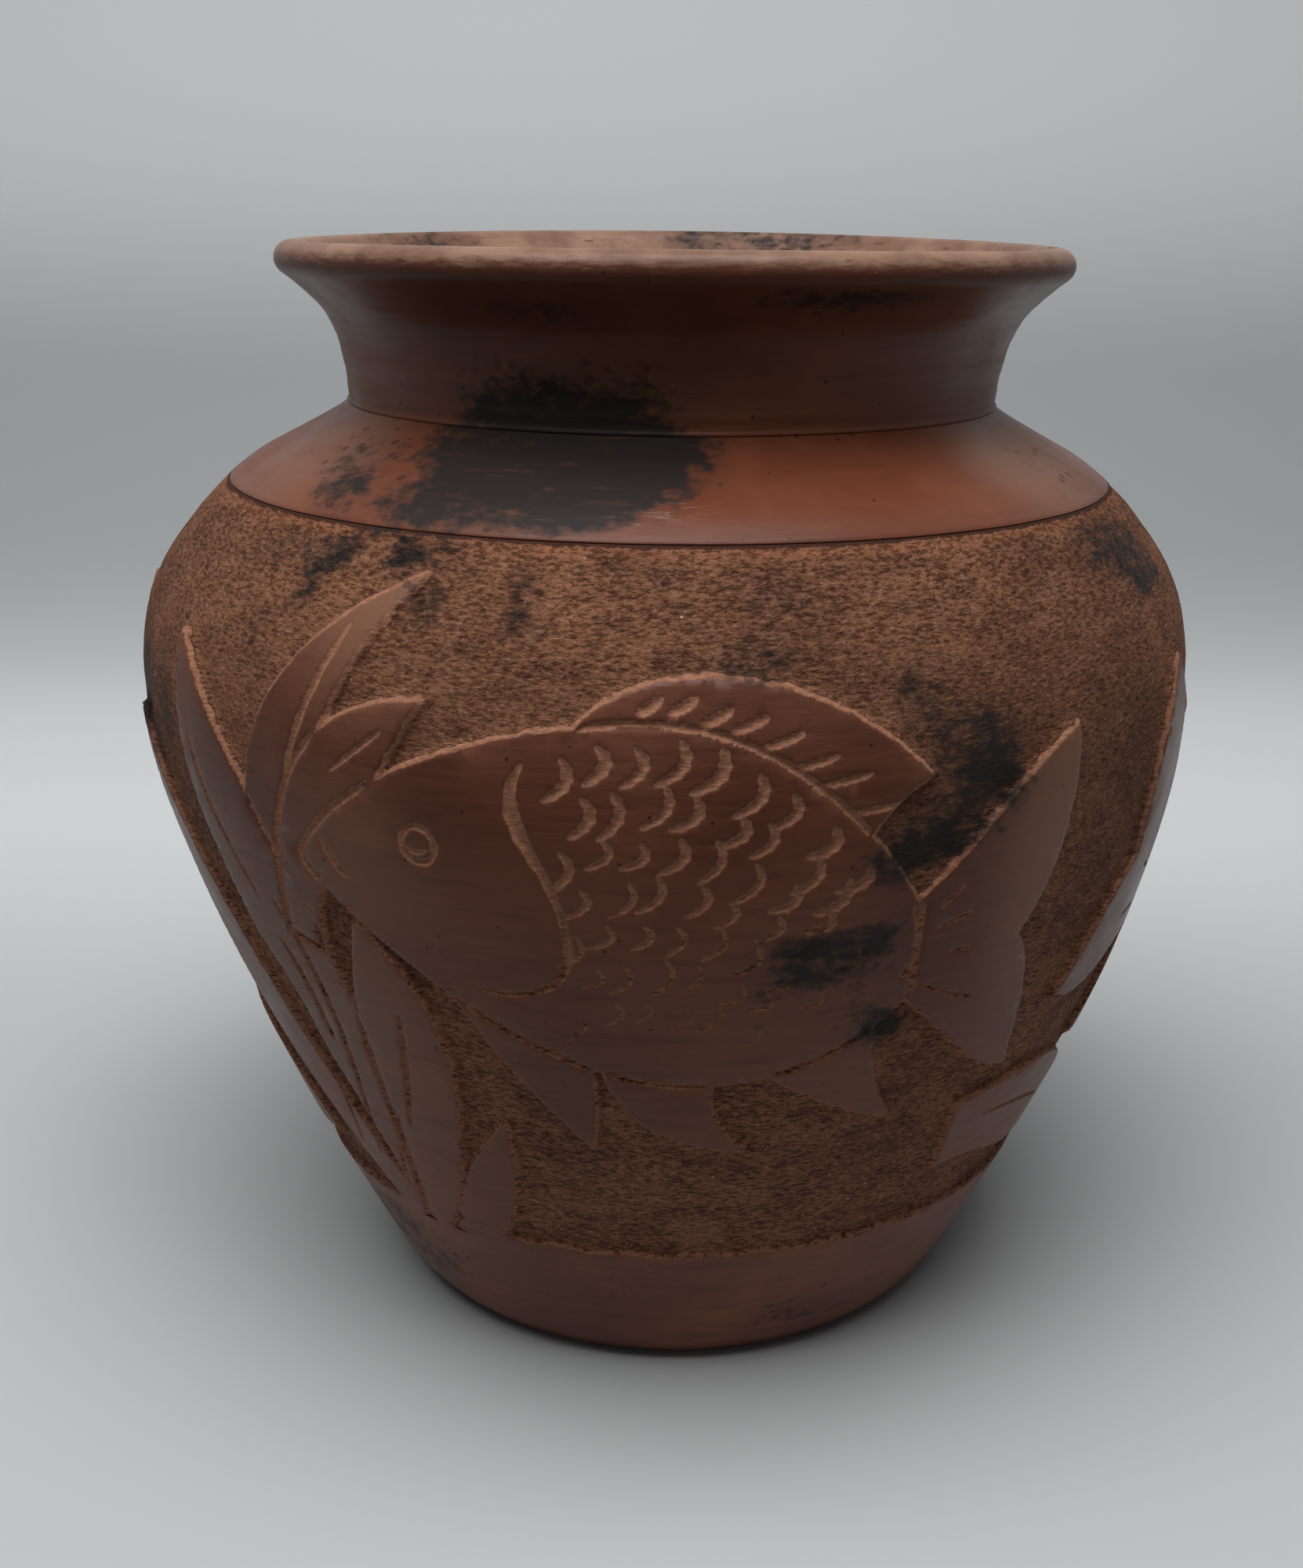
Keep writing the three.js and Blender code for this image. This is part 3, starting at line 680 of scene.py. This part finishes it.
shoulder_clouds = [
    (-14, 173, 19, 7, 1.0), (-9, 170, 14, 5, 0.95), (-26, 171, 14, 6, 0.8), (-32, 178, 10, 5, 0.55),
    (-20, 181, 14, 5, 0.65), (-5, 176, 10, 6, 0.7), (-28, 165, 12, 3, 0.6), (-14, 165, 10, 2, 0.6),
    (-46, 169, 8, 4, 0.55), (-44, 165, 7, 3, 0.5), (-52, 172, 7, 4, 0.4), (62, 168, 14, 5, 0.35),
    (140, 172, 24, 8, 0.75), (124, 180, 14, 8, 0.6), (-120, 168, 18, 7, 0.65), (180, 166, 16, 5, 0.5),
]
marked(shoulder_ring, shoulder_clouds)
hand_built(shoulder_ring)
shoulder_ring.data.materials.append(burnished_clay)
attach(shoulder_ring, "root")
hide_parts("shoulder")

# The neck is a flared collar set on the shoulder. The seam was pressed down with a tool, which
# left a fine bead round it, and a wet rag drawn round the neck left level lines.
rim_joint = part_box("neck_collar")[1].z * 1000
rim_point, rim_inside_point = (73.61, rim_joint), (64.06, rim_joint)
neck_skin = swept(neck_point, rim_point, 8, 0.57, 52, 0.4)
neck_inside = swept(neck_inside_point, rim_inside_point, 6, 0.52, 46.5, 0.25)
bead = [neck_point, (61.85, neck_seam + 0.45), (61.9, neck_seam + 0.7), (61.65, neck_seam + 1.0)]
neck_outside = spaced(neck_skin[neck_skin[:, 1] > neck_seam + 1.3], 0.7)
neck_outside[:-1, 0] += 0.05 * np.sin(neck_outside[:-1, 1] * 1.1) + 0.03 * np.sin(neck_outside[:-1, 1] * 3.1)
flared_neck = thrown("flared_neck", [*bead, *neck_outside, *spaced(neck_inside, 1.6)[::-1]])
neck_clouds = [
    (-17, 176, 17, 8, 0.9), (-26, 177, 11, 5, 0.5), (-8, 177, 9, 5, 0.5), (-16, 185, 26, 8, 0.24),
    (20, 197.5, 13, 2.2, 0.62), (31, 198, 9, 2.2, 0.5), (-20, 195, 18, 2, 0.35), (60, 188, 10, 4, 0.3),
    (140, 180, 20, 7, 0.7), (160, 190, 22, 8, 0.6), (-120, 179, 16, 4, 0.5), (124, 182, 12, 6, 0.5),
]
marked(flared_neck, neck_clouds)
# Painted sheen: the front and right of the neck are paled where their gloss would show light from the paper
# and the room.
neck_sheen = [(14, 184, 55, 6, 0.4), (75, 184, 20, 6, 0.3)]
marked(flared_neck, neck_sheen, "wear_and_sheen")
hand_built(flared_neck)
flared_neck.data.materials.append(burnished_clay)
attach(flared_neck, "root")
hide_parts("neck_collar")

# The rim is the edge of the collar rolled out and rounded with wet fingers. Its top is rubbed pale
# and its under edge keeps the painted shade of the upper neck.
lip_centre, lip_radius = np.array([71.7, 201.9]), 3.1
lip_turns = [math.radians(a) for a in range(-52, 129, 9)]
lip = [lip_centre + lip_radius * np.array([math.cos(a), math.sin(a)]) for a in lip_turns]
lip_inside = swept(rim_inside_point, lip[-1], 46.5, 0.3, 38, 0.3)
rolled_rim = thrown("rolled_rim", [*lip, *spaced(lip_inside, 0.8)[::-1][1:]])
rim_clouds = [
    (171, 202, 14, 7, 0.5), (157, 202, 8, 7, 0.45), (146, 203, 7, 7, 0.4), (85, 203, 10, 8, 0.5),
    (-130, 203, 14, 8, 0.5),
]
marked(rolled_rim, rim_clouds)
hand_built(rolled_rim)

worn_clay, tree, shader, place = clay_shader("worn_clay")
colour, roughness, height = burnished_skin(tree, place)
upward = joined(tree, "SeparateXYZ", {}, {0: joined(tree, "TexCoord", {}, {}).outputs["Normal"]}).outputs[2]
streaky = joined(tree, "Mapping", {}, {"Vector": place, "Scale": (1, 1, 5)}).outputs[0]
streaks = noise(tree, streaky, 220, 5, 0.72)
rubbed = counted(tree, "MULTIPLY_ADD", streaks, 1.8, counted(tree, "SUBTRACT", upward, 0.95))
mottled = ramped(tree, noise(tree, place, 70, 5, 0.65), 0.35, 0.65)
pale = mixed(tree, mottled, (0.19, 0.098, 0.064, 1), (0.3, 0.172, 0.118, 1))
colour = mixed(tree, ramped(tree, rubbed, -0.1, 0.7), colour, pale)
chips = grit(tree, streaky, 160, 0.2, 0.12)
colour = mixed(tree, counted(tree, "MULTIPLY", chips, 0.6), colour, (0.09, 0.04, 0.026, 1))
height = counted(tree, "MULTIPLY_ADD", chips, -1.2, height)
finish_clay(tree, shader, place, colour, roughness, height, 0.0002)
rolled_rim.data.materials.append(worn_clay)
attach(rolled_rim, "root")
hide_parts("rim_roll")

# A pale sheet of paper lies under the pot and curves up behind it, with painted light on it: bands paler and
# greyer in turn stand for the light along it. In front it is nearly black except to the camera, so that
# little light comes up under the belly.
paper_half_width, paper_front, bend_start = 1.3, -1.1, 0.5
bpy.ops.object.select_all(action="DESELECT")
bpy.ops.mesh.primitive_plane_add(size=1)
paper = bpy.context.object
paper.name = paper.data.name = "paper_sweep"
for vertex in paper.data.vertices:
    vertex.co.x = math.copysign(paper_half_width, vertex.co.x)
    vertex.co.y = bend_start if vertex.co.y > 0 else paper_front
bpy.ops.object.mode_set(mode="EDIT")
bpy.ops.mesh.select_all(action="DESELECT")
bpy.ops.mesh.select_mode(type="EDGE")
bpy.ops.object.mode_set(mode="OBJECT")
for edge in paper.data.edges:
    edge.select = all(paper.data.vertices[v].co.y > 0 for v in edge.vertices)
bpy.ops.object.mode_set(mode="EDIT")
sweep_radius, upright = 0.5, 0.25
for i in range(1, 19):
    before, after = math.radians(5 * (i - 1)), math.radians(5 * i)
    rise = sweep_radius * (math.cos(before) - math.cos(after))
    step = (0, sweep_radius * (math.sin(after) - math.sin(before)), rise)
    bpy.ops.mesh.extrude_region_move(TRANSFORM_OT_translate={"value": step})
bpy.ops.mesh.extrude_region_move(TRANSFORM_OT_translate={"value": (0, 0, upright)})
bpy.ops.mesh.select_all(action="SELECT")
bpy.ops.mesh.normals_make_consistent(inside=False)
bpy.ops.object.mode_set(mode="OBJECT")
bpy.ops.object.shade_smooth()
pale_paper = bpy.data.materials.new("pale_paper")
pale_paper.use_nodes = True
tree = pale_paper.node_tree
shader = tree.nodes["Principled BSDF"]
shader.inputs["Roughness"].default_value = 0.9
shader.inputs["Specular IOR Level"].default_value = 0.2
place = joined(tree, "TexCoord", {}, {}).outputs["Object"]
far_back = joined(tree, "SeparateXYZ", {}, {0: place}).outputs[1]
seen = joined(tree, "LightPath", {}, {}).outputs["Is Camera Ray"]
far_front = ramped(tree, far_back, -0.32, -0.13, 1, 0)
unlit = counted(tree, "MULTIPLY", far_front, counted(tree, "SUBTRACT", 1.0, seen))
# Painted light: the paper's tone rises and falls along its depth, as the light on it would.
greyer, whiter = (0.5, 0.52, 0.525, 1), (0.77, 0.8, 0.81, 1)
paper_colour = mixed(tree, ramped(tree, far_back, 0.05, 0.32), greyer, whiter)
paper_colour = mixed(tree, ramped(tree, far_back, 0.38, 0.7), paper_colour, (0.5, 0.52, 0.53, 1))
paper_colour = mixed(tree, ramped(tree, far_back, 0.8, 0.985), paper_colour, (0.95, 0.96, 0.96, 1))
paper_colour = mixed(tree, unlit, paper_colour, (0.05, 0.05, 0.05, 1))
tree.links.new(paper_colour, shader.inputs["Base Color"])
paper.data.materials.append(pale_paper)

# One wide soft light hangs over the pot, and a dim room fills the shadows. The room is pale where
# the camera or a gloss on the clay looks into it.
lamp = bpy.data.lights.new("overhead_softbox", "AREA")
lamp.shape = "RECTANGLE"
lamp.size, lamp.size_y = 1.1, 0.9
lamp.energy = 20
hung = bpy.data.objects.new("overhead_softbox", lamp)
hung.location = (-0.1, -0.42, 1.25)
bpy.context.scene.collection.objects.link(hung)
room = bpy.data.worlds.new("dim_room")
room.use_nodes = True
tree = room.node_tree
rays = joined(tree, "LightPath", {}, {})
seen = counted(tree, "MAXIMUM", rays.outputs["Is Camera Ray"], rays.outputs["Is Glossy Ray"])
sky = mixed(tree, seen, (0.06, 0.063, 0.066, 1), (0.45, 0.47, 0.48, 1))
tree.links.new(sky, tree.nodes["Background"].inputs["Color"])
bpy.context.scene.world = room

# The camera stands close in front of the pot, a little above its rim, and looks down at it.
camera = bpy.data.cameras.new("camera")
camera.lens = 43.94
viewer = bpy.data.objects.new("camera", camera)
viewer.location = (-0.0044, -0.3737, 0.2138)
viewer.rotation_euler = (math.radians(72.79), 0, 0)
bpy.context.scene.collection.objects.link(viewer)
bpy.context.scene.camera = viewer
bpy.context.scene.view_settings.view_transform = "Standard"
